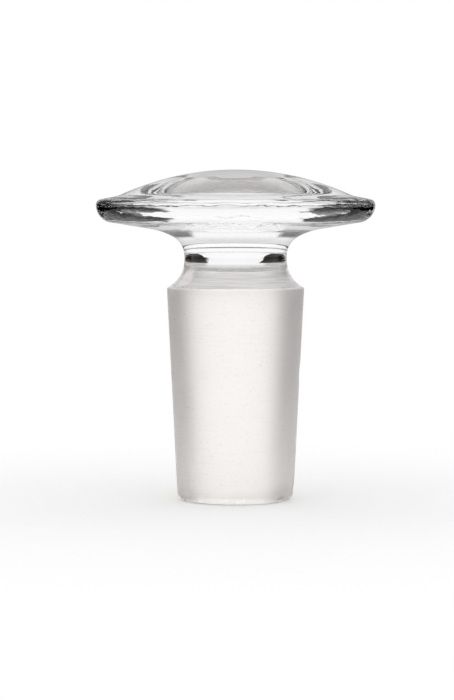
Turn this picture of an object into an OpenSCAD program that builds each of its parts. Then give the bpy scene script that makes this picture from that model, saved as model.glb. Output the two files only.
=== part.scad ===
// Solid glass stopper: a ground tapered joint, a waisted neck and a domed disc head.
// Its half section is a chain of tangent lines and arcs, turned about Z.
// It stands on the flat end of the joint, with the origin at the middle of that end.

/* [Ground joint] */
// Diameter of the ground cone at its large end
joint_d = 14.5; // [13.4:0.1:16]
// Length of the ground cone, from the flat end to the shoulder
joint_length = 22.5; // [14:0.5:35]
// Length of cone for each millimetre that its diameter changes
joint_taper = 10; // [7:0.5:20]
// Rounding of the edge around the flat end
tip_edge_r = 0.8; // [0.2:0.05:2]
// Rounding of the edge between the ground cone and the shoulder
joint_edge_r = 0.3; // [0.1:0.05:0.6]

/* [Neck] */
// Diameter of the neck at its waist
neck_d = 10.8; // [9:0.1:12]
// Radius of the hollow between the ground cone and the neck
shoulder_r = 3.35; // [2.7:0.05:6]
// Straight length of the waist
waist_length = 0.35; // [0.1:0.05:8]
// Radius of the flare where the neck starts to open
root_r = 2.35; // [1.2:0.05:4]
// Angle that the first radius of the flare turns through
root_turn = 61; // [45:1:70]
// Radius of the flare where it runs out under the head
flare_r = 7.2; // [4.5:0.1:10]

/* [Head] */
// Diameter of the disc head
head_d = 29.4; // [26:0.2:45]
// Rise of the underside towards the rim, in degrees
underside_rise = 9.4; // [2:0.2:14]
// Lower radius of the rim
rim_low_r = 1.85; // [1:0.05:3]
// Upper radius of the rim
rim_top_r = 0.6; // [0.3:0.05:1.5]
// Rise of the narrow lip inside the rim, in degrees
lip_rise = 11.5; // [2:0.5:16]
// Width of the lip
lip_width = 1.5; // [0.2:0.1:3]
// Radius of the hollow between the lip and the dome
dome_foot_r = 4; // [1:0.5:8]
// Radius of the domed top
dome_r = 29; // [25:0.5:58]

/* [Hidden] */
$fn = 240;
// Furthest that a chord may lie from its arc
arc_error = 0.004;

// Points of the section are [radius, height], and angles run up from the radius
function toward(angle) = [cos(angle), sin(angle)];
function heading(from, to) = atan2(to[1] - from[1], to[0] - from[0]);

// Points along an arc from one angle to another, without the first ones that skip counts
function arc(centre, r, from, to, skip = 0) =
    let (steps = ceil(abs(to - from) / (2 * acos(1 - arc_error / r))))
    [for (i = [skip : steps]) centre + r * toward(from + (to - from) * i / steps)];

// Ground cone: its half angle, and the centre of a rounding that touches it from inside
cone_half = atan(1 / (2 * joint_taper));
function cone_radius(z) = joint_d / 2 - (joint_length - z) * tan(cone_half);
function inside_cone(z, r) = [cone_radius(z) - r / cos(cone_half), z];
tip = inside_cone(tip_edge_r, tip_edge_r);
edge = inside_cone(joint_length - joint_edge_r, joint_edge_r);

// Shoulder: a hollow that touches the rounded edge and runs up into the waist
neck_radius = neck_d / 2;
shoulder_in = neck_radius + shoulder_r - edge[0];
shoulder_up = sqrt(pow(shoulder_r + joint_edge_r, 2) - pow(shoulder_in, 2));
shoulder = edge + [shoulder_in, shoulder_up];

// Flare: two hollows in a row, from the waist to the underside of the head
root = shoulder + [root_r - shoulder_r, waist_length];
flare = root + (flare_r - root_r) * toward(-root_turn);
flare_end = flare + flare_r * toward(90 + underside_rise);

// Rim: two roundings that meet at the widest line
rim_low_x = head_d / 2 - rim_low_r;
rim_start = rim_low_x + rim_low_r * sin(underside_rise);
rim_start_z = flare_end[1] + (rim_start - flare_end[0]) * tan(underside_rise);
rim_z = rim_start_z + rim_low_r * cos(underside_rise);
rim_low = [rim_low_x, rim_z];
rim_top = [head_d / 2 - rim_top_r, rim_z];

// Top: a narrow straight lip, a soft hollow and the dome
lip_end = rim_top + rim_top_r * toward(90 - lip_rise) + lip_width * toward(180 - lip_rise);
dome_foot = lip_end + dome_foot_r * toward(90 - lip_rise);
dome = [0, dome_foot[1] - sqrt(pow(dome_r + dome_foot_r, 2) - pow(dome_foot[0], 2))];

// Half section, from the middle of the flat end up the outside to the top of the dome
module stopper_section() {
    polygon(concat(
        [[0, 0]],
        arc(tip, tip_edge_r, -90, -cone_half),
        arc(edge, joint_edge_r, -cone_half, heading(edge, shoulder)),
        arc(shoulder, shoulder_r, heading(shoulder, edge) + 360, 180, 1),
        arc(root, root_r, 180, 180 - root_turn),
        arc(flare, flare_r, 180 - root_turn, 90 + underside_rise, 1),
        arc(rim_low, rim_low_r, underside_rise - 90, 0),
        arc(rim_top, rim_top_r, 0, 90 - lip_rise, 1),
        arc(dome_foot, dome_foot_r, -90 - lip_rise, heading(dome_foot, dome)),
        arc(dome, dome_r, heading(dome, dome_foot), 90, 1)
    ));
}

// The whole stopper, one piece of glass
module stopper() {
    color([0.86, 0.9, 0.91])
        rotate_extrude()
            stopper_section();
}

stopper();
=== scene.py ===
import bpy
import numpy as np
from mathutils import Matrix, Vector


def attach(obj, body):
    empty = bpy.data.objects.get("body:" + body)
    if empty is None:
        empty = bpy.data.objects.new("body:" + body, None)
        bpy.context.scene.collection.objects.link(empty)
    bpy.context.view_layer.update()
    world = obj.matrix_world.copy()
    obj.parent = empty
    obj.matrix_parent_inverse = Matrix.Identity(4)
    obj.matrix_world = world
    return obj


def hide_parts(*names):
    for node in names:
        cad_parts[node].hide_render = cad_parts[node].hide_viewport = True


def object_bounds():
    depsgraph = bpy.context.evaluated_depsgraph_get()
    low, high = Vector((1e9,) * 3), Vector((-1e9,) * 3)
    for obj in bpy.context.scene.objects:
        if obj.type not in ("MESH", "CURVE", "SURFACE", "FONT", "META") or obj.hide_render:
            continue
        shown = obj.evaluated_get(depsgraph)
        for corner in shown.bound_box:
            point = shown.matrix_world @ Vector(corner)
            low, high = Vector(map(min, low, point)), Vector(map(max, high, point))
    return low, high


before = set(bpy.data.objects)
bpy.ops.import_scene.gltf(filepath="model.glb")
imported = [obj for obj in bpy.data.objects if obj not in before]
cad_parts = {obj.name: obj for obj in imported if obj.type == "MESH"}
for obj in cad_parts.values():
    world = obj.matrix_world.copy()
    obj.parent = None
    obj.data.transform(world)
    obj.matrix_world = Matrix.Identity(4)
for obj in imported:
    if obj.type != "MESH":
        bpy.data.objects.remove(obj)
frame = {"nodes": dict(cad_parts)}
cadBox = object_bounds()
mm = 0.001
print("frame loaded:", ", ".join(frame["nodes"]))


# Shader maths: one socket of a node tree, on which sums of values read as sums
class Val:
    def __init__(self, tree, socket=None):
        self.tree, self.socket = tree, socket

    def node(self, kind, settings=None, inputs=None, output=0):
        made = self.tree.nodes.new(kind)
        for name, value in (settings or {}).items():
            setattr(made, name, value)
        for name, value in (inputs or {}).items():
            if isinstance(value, Val):
                self.tree.links.new(value.socket, made.inputs[name])
            else:
                made.inputs[name].default_value = value
        return Val(self.tree, made.outputs[output] if made.outputs else None)

    def maths(self, operation, first, second=0.0):
        return self.node("ShaderNodeMath", {"operation": operation}, {0: first, 1: second})

    def __add__(self, other):
        return self.maths("ADD", self, other)

    def __radd__(self, other):
        return self.maths("ADD", other, self)

    def __sub__(self, other):
        return self.maths("SUBTRACT", self, other)

    def __rsub__(self, other):
        return self.maths("SUBTRACT", other, self)

    def __mul__(self, other):
        return self.maths("MULTIPLY", self, other)

    def __rmul__(self, other):
        return self.maths("MULTIPLY", other, self)

    def __truediv__(self, other):
        return self.maths("DIVIDE", self, other)

    def __rtruediv__(self, other):
        return self.maths("DIVIDE", other, self)

    def __abs__(self):
        return self.maths("ABSOLUTE", self)

    def larger(self, other):
        return self.maths("MAXIMUM", self, other)

    # 0 below low, 1 above high, with a smooth step between
    def step(self, low, high):
        return self.node(
            "ShaderNodeMapRange",
            {"interpolation_type": "SMOOTHSTEP"},
            {"Value": self, "From Min": low, "From Max": high},
        )

    def mix(self, first, second):
        return self.node("ShaderNodeMix", {"data_type": "RGBA"}, {0: self, 6: first, 7: second}, output=2)

    def noise(self, scale, detail=2.0):
        return self.node("ShaderNodeTexNoise", inputs={"Vector": self, "Scale": scale, "Detail": detail})

    def stretched(self, factors):
        return self.node("ShaderNodeVectorMath", {"operation": "MULTIPLY"}, {0: self, 1: factors})

    def awayFrom(self, point):
        settings = {"operation": "DISTANCE"}
        return self.node("ShaderNodeVectorMath", settings, {0: self, 1: point}, output="Value")


# A material with an empty node tree, and the shader maths for it
def newMaterial(name):
    material = bpy.data.materials.new(name)
    material.use_nodes = True
    material.node_tree.nodes.clear()
    return material, Val(material.node_tree)


# An object at the origin, with its place in its mesh
def newObject(name, points, faces, material):
    mesh = bpy.data.meshes.new(name)
    mesh.from_pydata(points, [], faces)
    mesh.shade_smooth()
    mesh.materials.append(material)
    piece = bpy.data.objects.new(name, mesh)
    bpy.context.scene.collection.objects.link(piece)
    return piece


# Stopper: sizes in millimetres, as the solid has them
stopper = {
    "jointD": 14.5,
    "jointLength": 22.5,
    "jointTaper": 10.0,
    "tipEdgeR": 0.8,
    "jointEdgeR": 0.3,
    "neckD": 10.8,
    "shoulderR": 3.35,
    "waistLength": 0.35,
    "rootR": 2.35,
    "rootTurn": 61.0,
    "flareR": 7.2,
    "undersideRise": 9.4,
    "rimLowR": 1.85,
    "rimTopR": 0.6,
    "lipRise": 11.5,
    "lipWidth": 1.5,
    "domeFootR": 4.0,
    "domeR": 29.0,
    "stepRound": 0.16,  # spacing along arcs
    "stepStraight": 0.4,  # spacing along straight stretches
    "around": 360,  # points around the axis
    "waveCount": 26,
    "waveSlope": 0.0075,  # steepness of each ripple left by the flame
    "waveTurns": (6, 84),  # fewest ripples around the axis, and one more than the most
    "waveAlong": 2.8,  # most ripple along the section, in radians for each mm
    "waveSeed": 7,
    "rimTopWave": (12.8, 14.2),  # radii between which the ripples set in, above the rim's widest line
    "rimLowWave": (9.5, 13.6),  # and below it
    "rimLowGain": 1.25,
    "bodyGains": (0.03, 0.16),  # share of the ripples on the rest of the glass, above that line and below it
    "bodyHeights": (22.9, 24.2),  # heights and radii between which that share sets in
    "bodyRadii": (1.0, 5.5),
    "chips": (  # turn in degrees, height, reach and depth
        (0.0, 13.3, 0.8, 0.11),
        (1.5, 11.7, 0.5, 0.06),
        (-2.0, 0.9, 0.6, 0.12),
    ),
}


# Direction: (cos a, sin a), with a in degrees
def toward(angle):
    return np.array([np.cos(np.radians(angle)), np.sin(np.radians(angle))])


# Angle in degrees of the line from one point to another
def heading(start, end):
    return np.degrees(np.arctan2(end[1] - start[1], end[0] - start[0]))


# Smooth step: 3 u^2 - 2 u^3, with u running from 0 at low to 1 at high
def ease(value, low, high):
    u = np.clip((value - low) / (high - low), 0, 1)
    return u * u * (3 - 2 * u)


# Arc: centre + r * (cos a, sin a), with a running evenly from one angle to the other
def arc(centre, r, start, end):
    count = max(5, int(np.ceil(np.radians(abs(end - start)) * r / stopper["stepRound"])) + 1)
    angles = np.radians(np.linspace(start, end, count))
    return centre + r * np.stack([np.cos(angles), np.sin(angles)], axis=1)


# Straight stretch: points in equal steps between two ends, both left out
def straight(start, end):
    count = int(np.linalg.norm(end - start) / stopper["stepStraight"]) + 2
    return start + np.linspace(0, 1, count)[1:-1, None] * (end - start)


# Half section: tangent arcs joined by straight stretches, from the flat end to the dome's top
def section():
    s = stopper
    headR = (cadBox[1][0] - cadBox[0][0]) / 2 / mm
    coneHalf = np.degrees(np.arctan(0.5 / s["jointTaper"]))

    # Centre at height z of a rounding that touches the cone from inside
    def insideCone(z, r):
        radius = s["jointD"] / 2 - (s["jointLength"] - z) * 0.5 / s["jointTaper"]
        return np.array([radius - r / np.cos(np.radians(coneHalf)), z])

    tip = insideCone(s["tipEdgeR"], s["tipEdgeR"])
    edge = insideCone(s["jointLength"] - s["jointEdgeR"], s["jointEdgeR"])
    inward = s["neckD"] / 2 + s["shoulderR"] - edge[0]
    upward = np.sqrt((s["shoulderR"] + s["jointEdgeR"]) ** 2 - inward ** 2)
    shoulder = edge + [inward, upward]
    root = shoulder + [s["rootR"] - s["shoulderR"], s["waistLength"]]
    flare = root + (s["flareR"] - s["rootR"]) * toward(-s["rootTurn"])
    flareEnd = flare + s["flareR"] * toward(90 + s["undersideRise"])
    rise = np.radians(s["undersideRise"])
    rimLowX = headR - s["rimLowR"]
    rimStart = rimLowX + s["rimLowR"] * np.sin(rise)
    rimZ = flareEnd[1] + (rimStart - flareEnd[0]) * np.tan(rise) + s["rimLowR"] * np.cos(rise)
    rimLow = np.array([rimLowX, rimZ])
    rimTop = np.array([headR - s["rimTopR"], rimZ])
    lipStart = rimTop + s["rimTopR"] * toward(90 - s["lipRise"])
    lipEnd = lipStart + s["lipWidth"] * toward(180 - s["lipRise"])
    foot = lipEnd + s["domeFootR"] * toward(90 - s["lipRise"])
    reach = s["domeR"] + s["domeFootR"]
    dome = np.array([0, foot[1] - np.sqrt(reach ** 2 - foot[0] ** 2)])

    tipArc = arc(tip, s["tipEdgeR"], -90, -coneHalf)
    edgeArc = arc(edge, s["jointEdgeR"], -coneHalf, heading(edge, shoulder))
    shoulderArc = arc(shoulder, s["shoulderR"], heading(shoulder, edge) + 360, 180)
    rootArc = arc(root, s["rootR"], 180, 180 - s["rootTurn"])
    flareArc = arc(flare, s["flareR"], 180 - s["rootTurn"], 90 + s["undersideRise"])
    rimLowArc = arc(rimLow, s["rimLowR"], s["undersideRise"] - 90, 0)
    rimTopArc = arc(rimTop, s["rimTopR"], 0, 90 - s["lipRise"])
    footArc = arc(foot, s["domeFootR"], -90 - s["lipRise"], heading(foot, dome))
    domeArc = arc(dome, s["domeR"], heading(dome, foot), 90)
    outline = np.concatenate([
        np.zeros((1, 2)),
        straight(np.zeros(2), tipArc[0]),
        tipArc,
        straight(tipArc[-1], edgeArc[0]),
        edgeArc[:-1],
        shoulderArc,
        straight(shoulderArc[-1], rootArc[0]),
        rootArc[:-1],
        flareArc,
        straight(flareArc[-1], rimLowArc[0]),
        rimLowArc[:-1],
        rimTopArc,
        straight(rimTopArc[-1], footArc[0]),
        footArc[:-1],
        domeArc,
    ])
    return outline, rimZ


# Ripples: a sum of waves a cos(n t + q l + p) around the axis t and along the section l,
# each with a height that gives it the same slope, strongest at the rim and none on the ground cone
def ripples(ring, along, turn, rimZ):
    s = stopper
    rng = np.random.default_rng(s["waveSeed"])
    headR = ring[:, 0].max()
    total = np.zeros((len(ring), len(turn)))
    for _ in range(s["waveCount"]):
        n = rng.integers(*s["waveTurns"])
        q = rng.uniform(-s["waveAlong"], s["waveAlong"])
        p = rng.uniform(0, 2 * np.pi)
        height = s["waveSlope"] / np.hypot(n / headR, q)
        total += height * np.cos(n * turn + q * along[:, None] + p)
    r, z = ring[:, 0], ring[:, 1]
    head = np.where(z > rimZ, ease(r, *s["rimTopWave"]), s["rimLowGain"] * ease(r, *s["rimLowWave"]))
    body = np.where(z > rimZ, *s["bodyGains"]) * ease(z, *s["bodyHeights"]) * ease(r, *s["bodyRadii"])
    return total * np.maximum(head, body)[:, None]


# Chips: shallow bowls in the ground cone, each depth * exp(-(distance / reach)^2)
def chips(ring, turn):
    r, z = ring[:, :1], ring[:, 1:]
    total = np.zeros((len(ring), len(turn)))
    for at, high, reach, depth in stopper["chips"]:
        across = r * (np.mod(turn - np.radians(at) + np.pi, 2 * np.pi) - np.pi)
        total += depth * np.exp(-(across ** 2 + (z - high) ** 2) / reach ** 2)
    return total * (r > 4) * (z < 22)


# Stopper: the half section turned about Z, point (r cos t, r sin t, z), closed by one point at each pole
def makeStopper(material):
    outline, rimZ = section()
    slope = np.gradient(outline, axis=0)
    slope /= np.linalg.norm(slope, axis=1)[:, None]
    stride = np.linalg.norm(np.diff(outline, axis=0), axis=1)
    along = np.concatenate([[0], np.cumsum(stride)])[1:-1]
    ring = outline[1:-1]
    outward = np.stack([slope[1:-1, 1], -slope[1:-1, 0]], axis=1)
    around = stopper["around"]
    turn = np.linspace(0, 2 * np.pi, around, endpoint=False)
    wave = ripples(ring, along, turn, rimZ) - chips(ring, turn)
    radius = ring[:, :1] + wave * outward[:, :1]
    height = ring[:, 1:] + wave * outward[:, 1:]
    grid = np.stack([radius * np.cos(turn), radius * np.sin(turn), height], axis=2).reshape(-1, 3)
    points = np.concatenate([grid, [[0, 0, outline[0, 1]], [0, 0, outline[-1, 1]]]]) * mm
    row = np.arange(len(ring) - 1)[:, None] * around
    here = np.arange(around)
    following = (here + 1) % around
    quads = np.stack([
        row + here, row + following, row + around + following, row + around + here,
    ], axis=2).reshape(-1, 4)
    bottom, top = len(grid), len(grid) + 1
    last = (len(ring) - 1) * around
    lowFan = np.stack([np.full(around, bottom), following, here], axis=1)
    topFan = np.stack([np.full(around, top), last + here, last + following], axis=1)
    faces = quads.tolist() + lowFan.tolist() + topFan.tolist()
    piece = newObject("clearStopper", points, faces, material)
    print("stopper:", len(ring), "rings,", 2 * len(quads) + 2 * around, "triangles")
    return piece


# Glass: clear and bright above the shoulder, finely ground below it
glass = {
    "ior": 1.47,
    "clearTint": (0.99, 0.996, 0.994, 1),
    "groundTint": (1.0, 0.97, 0.947, 1),
    "grainTint": (0.8, 0.755, 0.725, 1),
    # painted shade: grey-lavender tints that darken the clear shoulder, in bands
    "shoulderShadeTints": ((0.62, 0.598, 0.615, 1), (0.4, 0.38, 0.395, 1)),
    "speckTint": (0.6, 0.55, 0.5, 1),
    "groundRoughness": 0.44,
    "groundChalk": 0.15,  # share of the ground surface that scatters like chalk
    "scuffChalk": 0.75,
    "chalkTint": (0.97, 0.935, 0.905, 1),
    "groundTop": 22.42,  # height in mm at which the grinding ends
    "shoulderTop": (23.7, 24.7),  # heights in mm between which the tool marks run out
    "scuffs": (((-5.3, -3.2, 23.35), 2.3),),  # place and reach in mm
    "streakStretch": (260, 260, 9000),  # rings of the grinding and of the tool
    "flameStretch": (560, 560, 2400),  # streaks of the flame on the rim
    "flameRadii": (11.8, 13.6),  # radii in mm between which they set in
    "grainScale": 5500.0,
    "blotchScale": 420.0,
    "mottleScale": 4200.0,
    "speckScale": 560.0,
    "scuffScale": 6500.0,
    "bumpStrength": 0.32,
    "bumpDepth": 0.05,  # in mm
}


# Glass: one clear shader whose tint, roughness and relief change with height, with chalk on its ground faces
def glassMaterial():
    material, n = newMaterial("groundGlass")
    place = n.node("ShaderNodeTexCoord", output=3)
    height = n.node("ShaderNodeSeparateXYZ", inputs={0: place}, output=2)
    axisAway = place.stretched((1, 1, 0)).awayFrom((0, 0, 0))
    streak = place.stretched(glass["streakStretch"]).noise(1.0, 4.0)
    grain = place.noise(glass["grainScale"], 3.0)
    blotch = place.noise(glass["blotchScale"], 4.0)

    # Ground cone: an uneven upper edge, rings left by the grinding, and specks
    top = glass["groundTop"] * mm
    ground = 1 - (height + (place.noise(1500.0) - 0.5) * (0.22 * mm)).step(top - 0.06 * mm, top + 0.06 * mm)
    speckCell = n.node("ShaderNodeTexVoronoi", inputs={"Vector": place, "Scale": glass["speckScale"]})
    speckPick = place.noise(300.0).step(0.43, 0.53)
    speck = (1 - speckCell.step(0.035, 0.075)) * speckPick * ground
    mottle = place.noise(glass["mottleScale"], 3.0).step(0.55, 0.76) * 0.9 + streak.step(0.55, 0.76) * 0.4

    # Bright nicks around the rounded edge of the flat end
    nick = (1 - height.step(0.35 * mm, 0.8 * mm)) * axisAway.step(5.0 * mm, 5.5 * mm)
    nick = nick * place.noise(700.0, 3.0).step(0.5, 0.58)

    # Shoulder: rings of tool marks that run out up the neck, and a scuffed place; the shoulder's
    # grey-lavender tint, in bands along these rings, is painted shade
    low, high = glass["shoulderTop"]
    shoulder = (1 - height.step(low * mm, high * mm)) * (1 - ground)
    scuff = 0.0
    for point, reach in glass["scuffs"]:
        near = 1 - place.awayFrom([c * mm for c in point]).step(0.25 * reach * mm, reach * mm)
        scratch = place.stretched((1, 1, 0.5)).noise(glass["scuffScale"], 3.0)
        scuff = (near * scratch).step(0.3, 0.46) + scuff
    scuff = scuff * (1 - ground)

    # Rim: fine streaks of the flame, along the edge of the head
    inner, outer = glass["flameRadii"]
    flame = place.stretched(glass["flameStretch"]).noise(1.0, 1.5) * axisAway.step(inner * mm, outer * mm)

    rough = glass["groundRoughness"] + (streak - 0.5) * 0.3 + (blotch - 0.5) * 0.16
    roughness = ground * (rough - nick * 0.36) + shoulder * (0.06 + streak * 0.26) + scuff * 0.4
    groundTint = mottle.mix(glass["groundTint"], glass["grainTint"])
    # Painted shade: the clear shoulder glass is tinted grey-lavender, darker and lighter along the tool-mark
    # rings
    shoulderShadeTint = streak.step(0.36, 0.64).mix(*glass["shoulderShadeTints"])
    tint = shoulder.mix(glass["clearTint"], shoulderShadeTint)
    tint = ground.mix(tint, groundTint)
    tint = speck.mix(tint, glass["speckTint"])
    relief = ground * (grain + streak * 0.5 + blotch * 1.5) + shoulder * streak * 1.8
    relief = relief + scuff * grain + flame * 1.5
    bump = n.node("ShaderNodeBump", inputs={
        "Height": relief,
        "Strength": glass["bumpStrength"],
        "Distance": glass["bumpDepth"] * mm,
    })
    shader = n.node("ShaderNodeBsdfPrincipled", inputs={
        "Base Color": tint,
        "Roughness": roughness,
        "IOR": glass["ior"],
        "Transmission Weight": 1.0,
        "Normal": bump,
    })
    chalk = n.node("ShaderNodeBsdfDiffuse", inputs={"Color": glass["chalkTint"], "Normal": bump})
    inside = n.node("ShaderNodeNewGeometry", output="Backfacing")
    share = (ground * glass["groundChalk"] + scuff * glass["scuffChalk"]) * (1 - inside)
    shader = n.node("ShaderNodeMixShader", inputs={0: share, 1: shader, 2: chalk})
    n.node("ShaderNodeOutputMaterial", inputs={"Surface": shader})
    return material


piece = makeStopper(glassMaterial())
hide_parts("stopper")
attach(piece, "root")


# Stage, in metres: a pale floor that fades to white, and dark cards that the glass alone sees
studio = {
    "floorRadius": 3.0,
    "floorPoints": 96,
    "floorGap": 0.00003,  # space under the flat end
    "floorColour": (0.985, 0.985, 0.985, 1),
    "fade": (0.015, 0.075),  # distances between which the floor fades to white
    "cardDistance": 0.13,
    "cardPoints": 13,  # points across a card
    "cardRows": (  # height, and half of the angle covered there, in degrees
        (0.0, 27.0),
        (0.04, 19.5),
        (0.07, 11.0),
        (0.09, 4.0),
    ),
    "cardTurns": (43, 133, 223, 313),
    "cardFade": (0.45, 1.1),  # share of that half over which the card fades out for ground glass
    "cardTint": (0.006, 0.004, 0.003, 1),
    "worldLight": 0.98,
    "mirrorLight": 0.45,  # the studio as polished glass mirrors it
    "clearFloorShade": (0.68, 0.96),  # the floor as clear glass shows it, near and far, greyer near by as a painted shadow
    "paintedShadowFade": (0.025, 0.06),  # distances between which the painted shadow near by turns into the far level
    "matStart": (0.046, 0.062),  # distances at which the dark mats in front of the cards set in
    "matCorner": (0.62, 0.76),  # how close to a diagonal they set in, where 1 is on it
    "groundMat": 0.45,  # how much of them ground glass shows
}


# Rays that see the studio as a picture: straight from the camera, or by way of shiny or clear surfaces
def seenRays(n):
    camera = n.node("ShaderNodeLightPath", output="Is Camera Ray")
    glossy = n.node("ShaderNodeLightPath", output="Is Glossy Ray")
    through = n.node("ShaderNodeLightPath", output="Is Transmission Ray")
    return camera.larger(glossy).larger(through)


# Floor: matt around the glass and a picture of white further off. Clear glass sees it greyer near by, a
# painted shadow, with dark mats on the diagonals, where |2 x y| / distance^2 comes near 1
def floorMaterial():
    material, n = newMaterial("paleFloor")
    place = n.node("ShaderNodeTexCoord", output=3)
    x = n.node("ShaderNodeSeparateXYZ", inputs={0: place}, output=0)
    y = n.node("ShaderNodeSeparateXYZ", inputs={0: place}, output=1)
    away = place.awayFrom((0, 0, 0))
    far = away.step(*studio["fade"])
    corner = abs(x * y * 2) / (away * away)
    mat = corner.step(*studio["matCorner"]) * away.step(*studio["matStart"])

    # Sharp rays come by way of polished glass, through it or mirrored by it, and the others are blurred
    sharp = n.node("ShaderNodeLightPath", output="Is Singular Ray")
    through = n.node("ShaderNodeLightPath", output="Is Transmission Ray")
    low, high = studio["clearFloorShade"]
    # Painted shadow: the floor that clear glass shows is greyer near the glass, in place of its real shading
    clear = (low + away.step(*studio["paintedShadowFade"]) * (high - low)) * (1 - mat)
    shown = through * clear + (1 - through) * studio["mirrorLight"]
    blurred = (1 - sharp) * through * mat * studio["groundMat"]
    white = n.node("ShaderNodeEmission", inputs={"Color": 1 - sharp * (1 - shown) - blurred})
    matt = n.node("ShaderNodeBsdfDiffuse", inputs={"Color": studio["floorColour"]})
    share = (far * seenRays(n)).larger(sharp * through)
    shader = n.node("ShaderNodeMixShader", inputs={0: share, 1: matt, 2: white})
    n.node("ShaderNodeOutputMaterial", inputs={"Surface": shader})
    return material


# Floor: a disc around the origin, point (r cos t, r sin t, z), a hair below the flat end
def makeFloor():
    count = studio["floorPoints"]
    turn = np.linspace(0, 2 * np.pi, count, endpoint=False)
    flat = np.stack([np.cos(turn), np.sin(turn), np.zeros(count)], axis=1) * studio["floorRadius"]
    flat[:, 2] = cadBox[0][2] - studio["floorGap"]
    floor = newObject("floor", flat, [list(range(count))], floorMaterial())


# Card: dark, and fading to white towards its sides for ground glass
def cardMaterial():
    material, n = newMaterial("darkCard")
    sharp = n.node("ShaderNodeLightPath", output="Is Singular Ray")
    edge = n.node("ShaderNodeAttribute", {"attribute_name": "edge"}, output="Fac")
    dark = sharp.larger(1 - edge.step(*studio["cardFade"]))
    shader = n.node("ShaderNodeEmission", inputs={"Color": dark.mix((1, 1, 1, 1), studio["cardTint"])})
    n.node("ShaderNodeOutputMaterial", inputs={"Surface": shader})
    return material


# Cards: upright strips of a cylinder around the glass, point (d sin t, -d cos t, z), narrower upwards
def makeCards():
    material = cardMaterial()
    count = studio["cardPoints"]
    distance = studio["cardDistance"]
    high, half = np.array(studio["cardRows"]).T[:, :, None]
    across = np.linspace(-1, 1, count)
    corner = np.arange(len(high) - 1)[:, None] * count + np.arange(count - 1)
    faces = np.stack([corner, corner + 1, corner + count + 1, corner + count], axis=2).reshape(-1, 4)
    for turn in studio["cardTurns"]:
        angle = np.radians(turn + half * across)
        rise = np.broadcast_to(high, angle.shape)
        points = np.stack([distance * np.sin(angle), -distance * np.cos(angle), rise], axis=2)
        card = newObject("card%d" % turn, points.reshape(-1, 3), faces.tolist(), material)
        shade = card.data.attributes.new("edge", "FLOAT", "POINT")
        shade.data.foreach_set("value", np.tile(np.abs(across), len(high)))
        card.visible_camera = False
        card.visible_diffuse = False
        card.visible_shadow = False


# World: even white light, a little less of it on matt surfaces, and dimmer where polished glass mirrors it
def makeWorld():
    world = bpy.data.worlds.new("studio")
    bpy.context.scene.world = world
    world.use_nodes = True
    world.node_tree.nodes.clear()
    n = Val(world.node_tree)
    sharp = n.node("ShaderNodeLightPath", output="Is Singular Ray")
    through = n.node("ShaderNodeLightPath", output="Is Transmission Ray")
    grey = seenRays(n) * (1 - studio["worldLight"]) + studio["worldLight"]
    grey = grey - sharp * (1 - through) * (1 - studio["mirrorLight"])
    light = n.node("ShaderNodeBackground", inputs={"Color": grey})
    n.node("ShaderNodeOutputWorld", inputs={"Surface": light})


makeFloor()
makeCards()
makeWorld()
print("studio set")

# Camera: a little below the rim, far off with a long lens
camera = {
    "distance": 263.0,
    "height": 30.0,
    "aside": -0.9,
    "tilt": 3.09,
    "lens": 128.2,
}


def makeCamera():
    data = bpy.data.cameras.new("camera")
    data.sensor_width = 36.0
    data.lens = camera["lens"]
    data.clip_start = 0.01
    eye = bpy.data.objects.new("camera", data)
    eye.location = np.array([camera["aside"], -camera["distance"], camera["height"]]) * mm
    eye.rotation_euler = (np.radians(90 - camera["tilt"]), 0, 0)
    bpy.context.scene.collection.objects.link(eye)
    bpy.context.scene.camera = eye


makeCamera()
bpy.context.scene.view_settings.view_transform = "Standard"
print("camera set")
